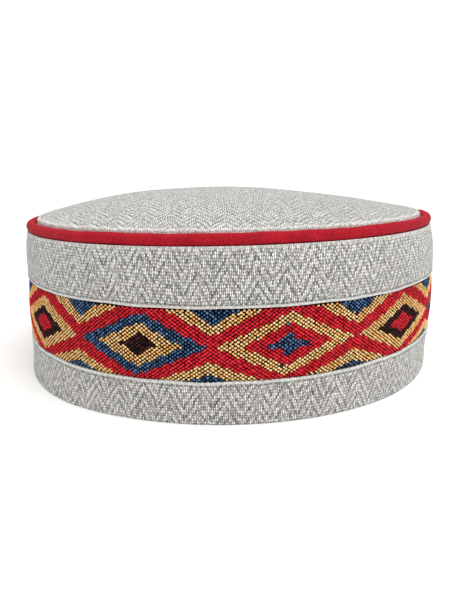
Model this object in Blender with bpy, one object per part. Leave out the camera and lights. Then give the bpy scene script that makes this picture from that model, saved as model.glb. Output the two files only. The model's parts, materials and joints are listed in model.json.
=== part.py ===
"""Kullu cap: a round wool cap with a domed crown, red piping and a woven patterned band.

Five sewn pieces are lofted round one slightly oval outline. Sizes below are in millimetres.
The front of the cap faces -Y, +Z is up, and the origin is the centre of the rim, which stands
on the plane z = 0. A section is a list of (inset, height) pairs: inset is measured inwards from
the outer face of the wall, height upwards from the rim.
"""

import math
from collections import namedtuple

import bmesh
import bpy
import numpy as np

MM = 0.001
SEGMENTS = 60
SMOOTH_ANGLE = math.radians(40)

# Outline of the wall
DEPTH_TO_WIDTH = 1.04
Level = namedtuple("Level", "name height half_width lean tilt sag twist flare")
# half_width and lean place the oval at that height. tilt, sag and twist are how far the cloth
# rises or drops there with the sine of the angle, and with the cosine and sine of twice it.
# flare is how far the soft wall stands out there at the places of FLARE_PLACES.
WALL_LEVELS = (
    Level("rim", 0.0, 94.9, -0.1, 0.0, 0.0, 0.0, 2.6),
    Level("hem", 8.0, 95.0, 0.2, 0.0, -0.3, 0.3, 1.8),
    Level("band foot", 16.4, 95.2, 0.5, 0.1, -0.6, 0.7, 0.9),
    Level("band middle", 29.0, 95.3, 0.8, 0.0, -0.2, 0.5, 0.3),
    Level("band head", 41.0, 95.0, 0.9, 0.0, 0.2, 0.3, 0.0),
    Level("shoulder", 50.0, 94.8, 0.9, 0.2, 0.2, 0.2, 0.0),
    Level("roll", 56.5, 94.2, 0.7, 0.3, 0.2, 0.2, 0.0),
    Level("crown seam", 61.2, 93.2, 0.5, 0.4, 0.2, 0.2, 0.0),
)
HEIGHT_OF = {level.name: level.height for level in WALL_LEVELS}
# Angle from the front in degrees, towards +X, and share of the flare
FLARE_PLACES = ((-44.0, 1.0), (0.0, 0.12), (43.0, 0.37))
FLARE_SPREAD = math.radians(15.0)

# Cloth
CLOTH_GAP = 0.3
WALL_THICKNESS = 2.8
RIM_CORNER = 0.6
LIP_THICKNESS = 1.2
LIP_FOLD = 0.4
LAP = 4.0
BAND_SET_BACK = 0.35
BAND_BULGE = 0.6
FACE_SHARES = (0.0, 0.2, 0.5, 0.8, 1.0)
WALL_ROLL = 0.8

# Piping: a covered cord on a sewn-in flange
CORD_RADIUS = 2.25
CORD_INSET = 2.0
CORD_SIDES = 10
FLANGE_FOOT = 54.0

# Crown: a domed disc with its edge turned down inside the wall
CROWN_RISE = 11.3
CROWN_FULLNESS = 2.1
CROWN_SKEW = -0.24
CROWN_THICKNESS = 2.0
CROWN_SHOULDER = 1.8
CROWN_INNER_CORNER = 0.8
CROWN_RINGS = 8
SKIRT_FOOT = 54.5

Cloth = namedtuple("Cloth", "name colour roughness")
TWEED = Cloth("grey_wool_tweed", (0.50, 0.49, 0.46), 0.95)
PIPING_CLOTH = Cloth("red_cotton_cloth", (0.40, 0.012, 0.026), 0.80)
WOVEN_BAND = Cloth("woven_wool_band", (0.43, 0.06, 0.03), 0.92)

ANGLES = np.linspace(0.0, 2.0 * math.pi, SEGMENTS, endpoint=False)


def level_value(column, height):
    """Value of one column of WALL_LEVELS at a height, held constant above the crown seam."""
    heights = [level.height for level in WALL_LEVELS]
    return np.interp(height, heights, [getattr(level, column) for level in WALL_LEVELS])


def settling(height):
    """How far the cloth lies above its even height, for each angle round the cap."""
    return (
        level_value("tilt", height) * np.sin(ANGLES)
        + level_value("sag", height) * np.cos(2.0 * ANGLES)
        + level_value("twist", height) * np.sin(2.0 * ANGLES)
    )


def flaring(height):
    """How far the wall stands out at a height, for each angle round the cap."""
    shape = sum(
        share * np.exp((np.cos(ANGLES - math.radians(place)) - 1.0) / FLARE_SPREAD**2)
        for place, share in FLARE_PLACES
    )
    return level_value("flare", height) * shape


def oval(half_width, half_depth, lean, heights):
    """One ring of points, from the front towards +X."""
    return np.stack(
        [
            half_width * np.sin(ANGLES) + lean,
            -half_depth * np.cos(ANGLES),
            np.broadcast_to(heights, ANGLES.shape),
        ],
        axis=1,
    )


def wall_ring(inset, height, lift=0.0):
    """A ring that follows the wall at an inset and a height, raised by lift at each angle."""
    half_width = level_value("half_width", height)
    reach = flaring(height) - inset
    return oval(
        half_width + reach,
        DEPTH_TO_WIDTH * half_width + reach,
        level_value("lean", height),
        height + settling(height) + lift,
    )


def wall_rings(section):
    """The rings of a whole section."""
    return [wall_ring(inset, height) for inset, height in section]


def arc(start, end, steps):
    """Angles from start to end in degrees, both included, as radians."""
    return np.radians(np.linspace(start, end, steps + 1))


def lower_band_section():
    """Grey strip with a flat rim, a rebate inside and a folded lip over the woven band."""
    top = HEIGHT_OF["band foot"]
    ledge = top - LAP - CLOTH_GAP
    return [
        (RIM_CORNER, 0.0),
        (WALL_THICKNESS - RIM_CORNER, 0.0),
        (WALL_THICKNESS, RIM_CORNER),
        (WALL_THICKNESS, ledge),
        (LIP_THICKNESS, ledge),
        (LIP_THICKNESS, top - LIP_FOLD),
        (LIP_THICKNESS - LIP_FOLD, top),
        (LIP_FOLD, top),
        (0.0, top - LIP_FOLD),
        (0.0, HEIGHT_OF["hem"]),
        (0.0, RIM_CORNER),
    ]


def patterned_band_section():
    """Woven band: a slightly bulging face, and two thin margins that lie under the lips."""
    foot, head = HEIGHT_OF["band foot"], HEIGHT_OF["band head"]
    face_foot, face_head = foot + CLOTH_GAP, head - CLOTH_GAP
    margin = LIP_THICKNESS + CLOTH_GAP
    face = [
        (
            BAND_SET_BACK - BAND_BULGE * math.sin(math.pi * share),
            face_foot + share * (face_head - face_foot),
        )
        for share in FACE_SHARES
    ]
    return [
        (WALL_THICKNESS, foot - LAP),
        (WALL_THICKNESS, head + LAP),
        (margin, head + LAP),
        (margin, face_head),
        *reversed(face),
        (margin, face_foot),
        (margin, foot - LAP),
    ]


def upper_band_section():
    """Grey strip with a folded lip over the woven band and a rolled edge under the piping."""
    foot = HEIGHT_OF["band head"]
    ledge = foot + LAP + CLOTH_GAP
    top = HEIGHT_OF["crown seam"] - CLOTH_GAP
    return [
        (LIP_FOLD, foot),
        (LIP_THICKNESS - LIP_FOLD, foot),
        (LIP_THICKNESS, foot + LIP_FOLD),
        (LIP_THICKNESS, ledge),
        (WALL_THICKNESS, ledge),
        (WALL_THICKNESS, HEIGHT_OF["roll"]),
        (WALL_THICKNESS, top),
        *(
            (WALL_ROLL * (1.0 - math.sin(turn)), top - WALL_ROLL * (1.0 - math.cos(turn)))
            for turn in arc(0.0, 90.0, 2)
        ),
        (0.0, HEIGHT_OF["roll"]),
        (0.0, HEIGHT_OF["shoulder"]),
        (0.0, foot + LIP_FOLD),
    ]


def piping_section():
    """Round cord with a flat flange that runs down inside the wall."""
    centre_height = HEIGHT_OF["crown seam"] + CORD_RADIUS
    flange_outer = WALL_THICKNESS + CLOTH_GAP
    flange_inner = CORD_INSET + CORD_RADIUS
    joint = -math.degrees(math.acos((CORD_INSET - flange_outer) / CORD_RADIUS))
    cord = [
        (
            CORD_INSET - CORD_RADIUS * math.cos(turn),
            centre_height + CORD_RADIUS * math.sin(turn),
        )
        for turn in arc(joint, 180.0, CORD_SIDES)
    ]
    return [(flange_outer, FLANGE_FOOT), *cord, (flange_inner, FLANGE_FOOT)]


def dome_height(fraction):
    """Outer height of the crown over a fraction of the way out to the piping, at each angle."""
    base = HEIGHT_OF["crown seam"] + 2.0 * CORD_RADIUS
    fullness = 1.0 - fraction**CROWN_FULLNESS
    return base + CROWN_RISE * fullness * (1.0 + CROWN_SKEW * fraction * np.sin(ANGLES))


def dome_ring(fraction, drop):
    """Ring on the dome, drop below its outer face. The settling fades towards the centre."""
    seam = HEIGHT_OF["crown seam"]
    half_width = level_value("half_width", seam)
    return oval(
        fraction * (half_width - CORD_INSET),
        fraction * (DEPTH_TO_WIDTH * half_width - CORD_INSET),
        level_value("lean", seam),
        dome_height(fraction) - drop + fraction**2 * settling(seam),
    )


def crown_rings():
    """Rings from just off the top centre, over the shoulder, round the skirt and back inside."""
    seam = HEIGHT_OF["crown seam"]
    half_width = level_value("half_width", seam)
    skirt_outer = CORD_INSET + CORD_RADIUS + CLOTH_GAP
    skirt_inner = skirt_outer + CROWN_THICKNESS
    outer_reach = (half_width - skirt_outer - CROWN_SHOULDER) / (half_width - CORD_INSET)
    inner_reach = (half_width - skirt_inner - CROWN_INNER_CORNER) / (half_width - CORD_INSET)
    steps = np.sin(np.linspace(0.0, math.pi / 2.0, CROWN_RINGS + 1)[1:])
    outer = [dome_ring(outer_reach * step, 0.0) for step in steps]
    inner = [dome_ring(inner_reach * step, CROWN_THICKNESS) for step in reversed(steps[1::2])]
    shoulder = []
    for turn in arc(0.0, 90.0, 3)[1:]:
        inset = skirt_outer + CROWN_SHOULDER * (1.0 - math.sin(turn))
        lift = dome_height(outer_reach) - CROWN_SHOULDER * (1.0 - math.cos(turn)) - seam
        shoulder.append(wall_ring(inset, seam, lift))
    corner_lift = dome_height(inner_reach) - CROWN_THICKNESS - CROWN_INNER_CORNER - seam
    return [
        *outer,
        *shoulder,
        wall_ring(skirt_outer, SKIRT_FOOT),
        wall_ring(skirt_inner, SKIRT_FOOT),
        wall_ring(skirt_inner, seam, corner_lift),
        *inner,
    ]


def dome_pole(drop):
    """Centre point of the crown, drop below its outer face."""
    lean = level_value("lean", HEIGHT_OF["crown seam"])
    return (float(lean), 0.0, float(dome_height(0.0)[0]) - drop)


def add_vertex(mesh, point, base_height):
    """Add one vertex, from millimetres above the rim to metres above the piece's own base."""
    x, y, z = point
    return mesh.verts.new((x * MM, y * MM, (z - base_height) * MM))


def add_rings(mesh, rings, base_height):
    """Add the rings' vertices and bridge each ring to the next with quads."""
    loops = [[add_vertex(mesh, point, base_height) for point in ring] for ring in rings]
    for near, far in zip(loops, loops[1:]):
        bridge(mesh, near, far)
    return loops


def bridge(mesh, near, far):
    """Quads between two loops of the same number of vertices."""
    for index in range(SEGMENTS):
        after = (index + 1) % SEGMENTS
        mesh.faces.new((near[index], near[after], far[after], far[index]))


def cap_pole(mesh, loop, point, base_height):
    """Close a loop with a fan of triangles round one point."""
    pole = add_vertex(mesh, point, base_height)
    for index in range(SEGMENTS):
        mesh.faces.new((loop[index], loop[(index + 1) % SEGMENTS], pole))


def cloth_material(cloth):
    """Principled material of one cloth."""
    material = bpy.data.materials.get(cloth.name) or bpy.data.materials.new(cloth.name)
    material.use_nodes = True
    shader = material.node_tree.nodes["Principled BSDF"]
    shader.inputs["Base Color"].default_value = (*cloth.colour, 1.0)
    shader.inputs["Roughness"].default_value = cloth.roughness
    shader.inputs["Metallic"].default_value = 0.0
    return material


def finish_piece(name, mesh, base_height, cloth, parent):
    """Turn a bmesh into a named object that stands at its own base height."""
    bmesh.ops.recalc_face_normals(mesh, faces=mesh.faces[:])
    data = bpy.data.meshes.new(name)
    mesh.to_mesh(data)
    mesh.free()
    data.shade_smooth()
    data.set_sharp_from_angle(angle=SMOOTH_ANGLE)
    data.materials.append(cloth_material(cloth))
    piece = bpy.data.objects.new(name, data)
    piece.location = (0.0, 0.0, base_height * MM)
    piece.parent = parent
    bpy.context.scene.collection.objects.link(piece)
    return piece


def ring_piece(name, section, cloth, parent):
    """A piece that runs all the way round the cap with one section."""
    base_height = min(height for _, height in section)
    mesh = bmesh.new()
    loops = add_rings(mesh, wall_rings(section), base_height)
    bridge(mesh, loops[-1], loops[0])
    return finish_piece(name, mesh, base_height, cloth, parent)


def crown_piece(name, cloth, parent):
    """The domed top with its turned-down edge."""
    mesh = bmesh.new()
    loops = add_rings(mesh, crown_rings(), SKIRT_FOOT)
    cap_pole(mesh, loops[0], dome_pole(0.0), SKIRT_FOOT)
    cap_pole(mesh, loops[-1], dome_pole(CROWN_THICKNESS), SKIRT_FOOT)
    return finish_piece(name, mesh, SKIRT_FOOT, cloth, parent)


def clear_scene():
    """Remove every object that the open file holds."""
    for item in list(bpy.data.objects):
        bpy.data.objects.remove(item, do_unlink=True)


def build_cap():
    """Build the five pieces under one empty at the centre of the rim."""
    clear_scene()
    cap = bpy.data.objects.new("cap", None)
    bpy.context.scene.collection.objects.link(cap)
    ring_piece("lower_band", lower_band_section(), TWEED, cap)
    ring_piece("patterned_band", patterned_band_section(), WOVEN_BAND, cap)
    ring_piece("upper_band", upper_band_section(), TWEED, cap)
    ring_piece("crown_piping", piping_section(), PIPING_CLOTH, cap)
    crown_piece("crown", TWEED, cap)


build_cap()
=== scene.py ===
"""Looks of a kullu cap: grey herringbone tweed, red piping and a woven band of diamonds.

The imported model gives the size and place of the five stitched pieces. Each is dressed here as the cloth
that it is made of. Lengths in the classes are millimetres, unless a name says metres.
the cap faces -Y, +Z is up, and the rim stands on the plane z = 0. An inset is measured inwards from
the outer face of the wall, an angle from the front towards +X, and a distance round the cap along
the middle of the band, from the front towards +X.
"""

import json
import logging
import math
from collections.abc import Callable, Mapping, Sequence
from dataclasses import dataclass
from enum import Enum
from functools import partial
from typing import Any

import bmesh
import bpy
import numpy as np
from mathutils import Matrix, Vector

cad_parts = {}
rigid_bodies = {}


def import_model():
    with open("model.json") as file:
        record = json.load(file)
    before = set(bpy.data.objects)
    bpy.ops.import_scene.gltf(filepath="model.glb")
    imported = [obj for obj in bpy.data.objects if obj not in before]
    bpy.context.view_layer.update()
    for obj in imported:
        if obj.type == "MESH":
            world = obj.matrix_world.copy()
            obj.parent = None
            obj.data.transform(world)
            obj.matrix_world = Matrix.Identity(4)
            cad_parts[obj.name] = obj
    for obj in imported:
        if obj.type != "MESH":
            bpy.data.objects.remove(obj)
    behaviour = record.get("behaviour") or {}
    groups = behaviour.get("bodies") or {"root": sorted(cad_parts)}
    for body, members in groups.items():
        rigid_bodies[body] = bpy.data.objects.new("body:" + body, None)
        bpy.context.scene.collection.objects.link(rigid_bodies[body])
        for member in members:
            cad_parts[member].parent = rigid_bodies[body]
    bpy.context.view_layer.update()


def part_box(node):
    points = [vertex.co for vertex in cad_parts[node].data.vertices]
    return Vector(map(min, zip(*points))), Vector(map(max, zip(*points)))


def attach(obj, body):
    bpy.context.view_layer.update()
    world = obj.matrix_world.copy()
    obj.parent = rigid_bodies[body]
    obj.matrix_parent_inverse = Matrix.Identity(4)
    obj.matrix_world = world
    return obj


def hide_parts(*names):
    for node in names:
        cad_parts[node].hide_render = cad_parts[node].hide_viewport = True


LOG = logging.getLogger("kullu_cap")
MM = 0.001
HALF_TURN = math.pi
TURN = 2.0 * math.pi
UP = np.array([0.0, 0.0, 1.0])
CLOTH_MAP = "cloth_map"
SHADE = "shade"
OUTWARD = "outward"
ALONG = "along"
VECTOR_MATH = "ShaderNodeVectorMath"
MIX = "ShaderNodeMix"
NOISE = "ShaderNodeTexNoise"
WHITE_NOISE = "ShaderNodeTexWhiteNoise"
RAMP = "ShaderNodeMapRange"
JOIN_XYZ = "ShaderNodeCombineXYZ"
SPLIT_XYZ = "ShaderNodeSeparateXYZ"
STORE = "GeometryNodeStoreNamedAttribute"
TRANSFORM = "GeometryNodeTransform"
RANDOM = "FunctionNodeRandomValue"
COLOURS = {"out": 2, "data_type": "RGBA"}
ON_CORNERS = {"data_type": "FLOAT2", "domain": "CORNER"}
AddNode = Callable[..., Any]


def linear(hex_colour: str) -> tuple[float, float, float, float]:
    """Turns an sRGB hex value to a linear colour.

    Args:
        hex_colour: Six hex digits after a hash sign.

    Returns:
        Red, green, blue and alpha for a colour socket.
    """
    channels = [int(hex_colour[at : at + 2], 16) / 255.0 for at in (1, 3, 5)]
    light = [c / 12.92 if c <= 0.04045 else ((c + 0.055) / 1.055) ** 2.4 for c in channels]
    return (light[0], light[1], light[2], 1.0)


def add_node(
    tree: bpy.types.NodeTree,
    kind: str,
    *values: Any,
    named: Mapping[str | int, Any] | None = None,
    out: int = 0,
    **settings: Any,
) -> bpy.types.NodeSocket | None:
    """Adds one node with its settings, values and links.

    Args:
        tree: Node tree of a material, a world or a geometry modifier.
        kind: Type of the node, or only the operation where it is a Math node.
        *values: Values for the first inputs in order. A socket is linked, a hex value is a
            colour, and None is left alone.
        named: The same for inputs that are given by name or place.
        out: Place of the output to return.
        **settings: Properties of the node itself.

    Returns:
        The chosen output socket, or None if the node has no outputs.
    """
    if "Node" not in kind:
        kind, settings = "ShaderNodeMath", {"operation": kind}
    node = tree.nodes.new(kind)
    for name, value in settings.items():
        setattr(node, name, value)
    for key, value in [*enumerate(values), *(named or {}).items()]:
        if isinstance(value, bpy.types.NodeSocket):
            tree.links.new(value, node.inputs[key])
        elif isinstance(value, str) and value.startswith("#"):
            node.inputs[key].default_value = linear(value)
        elif value is not None:
            node.inputs[key].default_value = value
    return node.outputs[out] if len(node.outputs) else None


@dataclass(frozen=True)
class Gloss:
    """How a finish takes the light, the same all over."""

    roughness: float
    specular: float
    sheen: float = 0.0
    sheen_roughness: float = 0.5

    def inputs(self) -> dict[str, float]:
        """Its values for the shader's inputs."""
        return {
            "Roughness": self.roughness,
            "Specular IOR Level": self.specular,
            "Sheen Weight": self.sheen,
            "Sheen Roughness": self.sheen_roughness,
        }


def start_material(name: str) -> AddNode:
    """Makes an empty node material.

    Args:
        name: Name of the material.

    Returns:
        The function that adds a node to it.
    """
    material = bpy.data.materials.new(name)
    material.use_nodes = True
    material.node_tree.nodes.clear()
    return partial(add_node, material.node_tree)


def close_material(
    add: AddNode, name: str, colour: Any, height: Any, relief: float, gloss: Gloss, bump: float = 1.0
) -> bpy.types.Material:
    """Ends a material in one bumped shader.

    Args:
        add: Adds a node to the material.
        name: Name of the material.
        colour: Socket or hex value of the base colour.
        height: Socket of the height of its relief.
        relief: Millimetres in a height of 1.
        gloss: How it takes the light.
        bump: Strength of the bump.

    Returns:
        The material.
    """
    bumped = {"Strength": bump, "Distance": relief * MM, "Height": height}
    normal = add("ShaderNodeBump", named=bumped)
    sockets = {"Base Color": colour, "Normal": normal, **gloss.inputs()}
    add("ShaderNodeOutputMaterial", add("ShaderNodeBsdfPrincipled", named=sockets))
    return bpy.data.materials[name]


def smooth_curve(knots: np.ndarray, values: np.ndarray, at: np.ndarray) -> np.ndarray:
    """Reads a smooth curve through a few knots, held constant beyond its ends.

    Args:
        knots: Rising places of the knots.
        values: Values at the knots.
        at: Places to read.

    Returns:
        The values there.
    """
    slopes = np.gradient(values, knots)
    place = np.clip(at, knots[0], knots[-1])
    index = np.clip(np.searchsorted(knots, place, side="right") - 1, 0, len(knots) - 2)
    width = knots[index + 1] - knots[index]
    share = (place - knots[index]) / width
    rest = 1.0 - share
    start = values[index] * (1.0 + 2.0 * share) + slopes[index] * width * share
    end = values[index + 1] * (3.0 - 2.0 * share) - slopes[index + 1] * width * rest
    return start * rest**2 + end * share**2


def bump_at(distance: np.ndarray, spread: float) -> np.ndarray:
    """Soft bump of height 1 at distance 0, spread wide."""
    return np.exp(-((distance / spread) ** 2))


def unevenness(angle: np.ndarray, seed: int, waves: Sequence[int]) -> np.ndarray:
    """Gives hand-made unevenness that closes on itself round the cap.

    Args:
        angle: Angles round the cap.
        seed: Seed of the random phases.
        waves: Whole numbers of waves in one turn.

    Returns:
        Values between about -1 and 1.
    """
    draw = np.random.default_rng(seed)
    total = np.zeros_like(angle)
    for count in waves:
        total += draw.uniform(0.5, 1.0) * np.cos(count * angle + draw.uniform(0.0, TURN))
    return total / (0.75 * math.sqrt(len(waves)))


@dataclass(frozen=True)
class WallLevel:
    """The wall's outline at one height: its half width and lean, and how far the cloth rises
    there with the sine of the angle (tilt) and with the cosine and sine of twice it. The flare is
    how far the soft wall stands out there at a few places round the cap."""

    height: float
    half_width: float
    lean: float
    tilt: float
    sag: float
    twist: float
    flare: float = 0.0


@dataclass(frozen=True)
class CapOutline:
    """The slightly oval outline that every piece of the cap follows."""

    metres: float
    depth_to_width: float = 1.04
    rim: WallLevel = WallLevel(0.0, 94.9, -0.1, 0.0, 0.0, 0.0, 2.6)
    hem: WallLevel = WallLevel(8.0, 95.0, 0.2, 0.0, -0.3, 0.3, 1.8)
    band_foot: WallLevel = WallLevel(16.4, 95.2, 0.5, 0.1, -0.6, 0.7, 0.9)
    band_middle: WallLevel = WallLevel(29.0, 95.3, 0.8, 0.0, -0.2, 0.5, 0.3)
    band_head: WallLevel = WallLevel(41.0, 95.0, 0.9, 0.0, 0.2, 0.3)
    shoulder: WallLevel = WallLevel(50.0, 94.8, 0.9, 0.2, 0.2, 0.2)
    roll: WallLevel = WallLevel(56.5, 94.2, 0.7, 0.3, 0.2, 0.2)
    crown_seam: WallLevel = WallLevel(61.2, 93.2, 0.5, 0.4, 0.2, 0.2)
    flare_places: tuple[tuple[float, float], ...] = ((-44.0, 1.0), (0.0, 0.12), (43.0, 0.37))
    flare_spread_degrees: float = 15.0
    lower_band_width: float = 190.67
    table_steps: int = 2881

    @classmethod
    def from_frame(cls) -> "CapOutline":
        """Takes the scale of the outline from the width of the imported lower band."""
        low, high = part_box("lower_band")
        return cls(metres=(high.x - low.x) / cls.lower_band_width)

    def levels(self) -> tuple[WallLevel, ...]:
        """The levels from the rim up."""
        lower = (self.rim, self.hem, self.band_foot, self.band_middle)
        return (*lower, self.band_head, self.shoulder, self.roll, self.crown_seam)

    def column(self, name: str, height: np.ndarray) -> np.ndarray:
        """Reads one column of the levels.

        Args:
            name: Field of WallLevel.
            height: Heights above the rim.

        Returns:
            The column's smooth values there.
        """
        knots = np.array([level.height for level in self.levels()])
        values = np.array([getattr(level, name) for level in self.levels()])
        return smooth_curve(knots, values, np.asarray(height, float))

    def settling(self, angle: np.ndarray, height: np.ndarray) -> np.ndarray:
        """How far the cloth lies above its even height at an angle and a height."""
        return (
            self.column("tilt", height) * np.sin(angle)
            + self.column("sag", height) * np.cos(2.0 * angle)
            + self.column("twist", height) * np.sin(2.0 * angle)
        )

    def flaring(self, angle: np.ndarray, height: np.ndarray) -> np.ndarray:
        """How far the wall stands out of its even oval at an angle and a height."""
        spread = math.radians(self.flare_spread_degrees)
        shape = sum(
            share * np.exp((np.cos(angle - math.radians(place)) - 1.0) / spread**2)
            for place, share in self.flare_places
        )
        return self.column("flare", height) * shape

    def point(
        self, angle: np.ndarray, inset: np.ndarray, height: np.ndarray, lift: Any = 0.0
    ) -> np.ndarray:
        """Gives points on the wall.

        Args:
            angle: Angles from the front towards +X.
            inset: Distances inwards from the outer face.
            height: Even heights above the rim.
            lift: Extra height at each point.

        Returns:
            Points in millimetres, with x, y and z along the last axis.
        """
        half_width = self.column("half_width", height)
        reach = self.flaring(angle, height) - inset
        x = (half_width + reach) * np.sin(angle) + self.column("lean", height)
        y = -(self.depth_to_width * half_width + reach) * np.cos(angle)
        z = height + self.settling(angle, height) + lift
        return np.stack(np.broadcast_arrays(x, y, z), axis=-1)

    def outward(self, angle: np.ndarray) -> np.ndarray:
        """Unit vectors that point straight out of the wall."""
        way = np.stack(
            [self.depth_to_width * np.sin(angle), -np.cos(angle), np.zeros_like(angle)], axis=-1
        )
        return way / np.linalg.norm(way, axis=-1, keepdims=True)

    def walk(self) -> tuple[np.ndarray, np.ndarray]:
        """Angles round the cap and the distance from the front to each, along the band."""
        angle = np.linspace(-HALF_TURN, HALF_TURN, self.table_steps)
        ring = self.point(angle, 0.0, self.band_middle.height)[:, :2]
        steps = np.linalg.norm(np.diff(ring, axis=0), axis=1)
        distance = np.concatenate([[0.0], np.cumsum(steps)])
        return angle, distance - np.interp(0.0, angle, distance)

    def girth(self) -> float:
        """Distance once round the cap along the middle of the band."""
        distance = self.walk()[1]
        return float(distance[-1] - distance[0])

    def distance_at(self, angle: np.ndarray) -> np.ndarray:
        """Distance round the cap at each angle."""
        return np.interp(angle, *self.walk())

    def angle_at(self, distance: np.ndarray) -> np.ndarray:
        """Angle at each distance round the cap."""
        angles, distances = self.walk()
        return np.interp(distance, distances, angles)

    def around(self, segments: int) -> np.ndarray:
        """Angles from the back seam once round to it again, both ends included."""
        return np.linspace(-HALF_TURN, HALF_TURN, segments + 1)


def add_object(name: str, data: Any) -> bpy.types.Object:
    """Puts a mesh, a light or a camera into the scene.

    Args:
        name: Name of the object.
        data: Its mesh, light or camera.

    Returns:
        The object.
    """
    thing = bpy.data.objects.new(name, data)
    bpy.context.scene.collection.objects.link(thing)
    return thing


def loft(
    name: str, grid: np.ndarray, cloth: np.ndarray, metres: float, capped: bool = False
) -> bpy.types.Object:
    """Makes a closed shell from rings that run once round the cap.

    Args:
        name: Name of the piece.
        grid: Points of the rings, ring by ring; each ring ends where it starts.
        cloth: The cloth's own two coordinates at each of these points.
        metres: Metres in one unit of the grid.
        capped: True if the first and last ring close in on a pole, False if the last ring
            meets the first.

    Returns:
        The piece, with its cloth coordinates in its UV map.
    """
    rings, columns = grid.shape[0], grid.shape[1] - 1
    points = grid[:, :columns].reshape(-1, 3)
    ring, column = np.meshgrid(
        np.arange(rings - 1 if capped else rings), np.arange(columns), indexing="ij"
    )
    ring, column = ring.ravel(), column.ravel()
    after, beside = (ring + 1) % rings, (column + 1) % columns
    corners = np.stack([ring, ring, after, after], axis=1)
    sides = np.stack([column, beside, beside, column], axis=1)
    faces = (corners * columns + sides).tolist()
    spread = cloth[corners, np.stack([column, column + 1, column + 1, column], axis=1)]
    if not capped:
        wrap = np.where(corners[:, 2] == 0)[0]
        spread[wrap, 2:] = spread[wrap, :2][:, ::-1]
    spread = list(spread.reshape(-1, 2))
    if capped:
        for edge, ring_at in ((points[:columns], 0), (points[-columns:], rings - 1)):
            pole = len(points)
            points = np.vstack([points, edge.mean(axis=0)])
            middle = cloth[ring_at, :columns].mean(axis=0)
            for at in range(columns):
                start = ring_at * columns
                faces.append([start + at, start + (at + 1) % columns, pole])
                spread += [cloth[ring_at, at], cloth[ring_at, at + 1], middle]
    mesh = bpy.data.meshes.new(name)
    mesh.from_pydata((points * metres).tolist(), [], faces)
    layer = mesh.uv_layers.new(name=CLOTH_MAP)
    layer.data.foreach_set("uv", (np.array(spread) * metres).ravel())
    shell = bmesh.new()
    shell.from_mesh(mesh)
    bmesh.ops.recalc_face_normals(shell, faces=shell.faces[:])
    shell.to_mesh(mesh)
    shell.free()
    mesh.shade_smooth()
    return add_object(name, mesh)


def set_shade(thing: bpy.types.Object, shade: np.ndarray) -> None:
    """Stores a value from 0 to 1 on the points of a lofted mesh.

    Args:
        thing: The lofted object.
        shade: Values ring by ring; any further points get 0.
    """
    values = np.zeros(len(thing.data.vertices), dtype=np.float32)
    values[: shade.size] = shade.ravel()
    attribute = thing.data.attributes.new(SHADE, "FLOAT", "POINT")
    attribute.data.foreach_set("value", values)


def start_tree(name: str, sizes: Sequence[str], counts: Sequence[str]) -> tuple[AddNode, Any]:
    """Makes an empty geometry tree, with its inputs and its output declared.

    Args:
        name: Name of the tree.
        sizes: Names of its number inputs.
        counts: Names of its whole-number inputs.

    Returns:
        The function that adds a node to it, and its input sockets by name.
    """
    tree = bpy.data.node_groups.new(name, "GeometryNodeTree")
    kinds = {
        "Geometry": "Geometry",
        **dict.fromkeys(sizes, "Float"),
        **dict.fromkeys(counts, "Int"),
        "Material": "Material",
    }
    for label, kind in kinds.items():
        tree.interface.new_socket(label, in_out="INPUT", socket_type="NodeSocket" + kind)
    tree.interface.new_socket("Geometry", in_out="OUTPUT", socket_type="NodeSocketGeometry")
    add = partial(add_node, tree)
    return add, add("NodeGroupInput").node.outputs


def close_tree(add: AddNode, geometry: Any, material: Any) -> bpy.types.NodeTree:
    """Ends a geometry tree in real, smooth and dressed geometry.

    Args:
        add: Adds a node to the tree.
        geometry: Socket of the geometry.
        material: Socket of the material.

    Returns:
        The tree.
    """
    real = add("GeometryNodeRealizeInstances", geometry)
    smooth = add("GeometryNodeSetShadeSmooth", real)
    dressed = add("GeometryNodeSetMaterial", named={"Geometry": smooth, "Material": material})
    add("NodeGroupOutput", dressed)
    return dressed.id_data


def run_tree(
    name: str, tree: bpy.types.NodeTree, points: np.ndarray, edges: Sequence[tuple[int, int]],
    vectors: Mapping[str, Any], values: Mapping[str, Any],
) -> bpy.types.Object:
    """Runs a geometry tree on points and edges and keeps the result as a plain mesh.

    Args:
        name: Name of the piece.
        tree: Geometry tree.
        points: Points that the tree starts from, in metres.
        edges: Edges between them, as pairs of point numbers.
        vectors: One vector for each point, under the name of each attribute.
        values: Value of each named input.

    Returns:
        The piece, with no modifier.
    """
    mesh = bpy.data.meshes.new(name + "_seats")
    mesh.from_pydata(points.tolist(), list(edges), [])
    for label, value in vectors.items():
        attribute = mesh.attributes.new(label, "FLOAT_VECTOR", "POINT")
        attribute.data.foreach_set("vector", np.asarray(value, np.float32).ravel())
    carrier = add_object(name + "_seats", mesh)
    modifier = carrier.modifiers.new(tree.name, "NODES")
    modifier.node_group = tree
    for item in tree.interface.items_tree:
        if item.in_out == "INPUT" and item.name in values:
            modifier[item.identifier] = values[item.name]
    graph = bpy.context.evaluated_depsgraph_get()
    baked = bpy.data.meshes.new_from_object(carrier.evaluated_get(graph))
    baked.name = name
    bpy.data.objects.remove(carrier, do_unlink=True)
    return add_object(name, baked)


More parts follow.
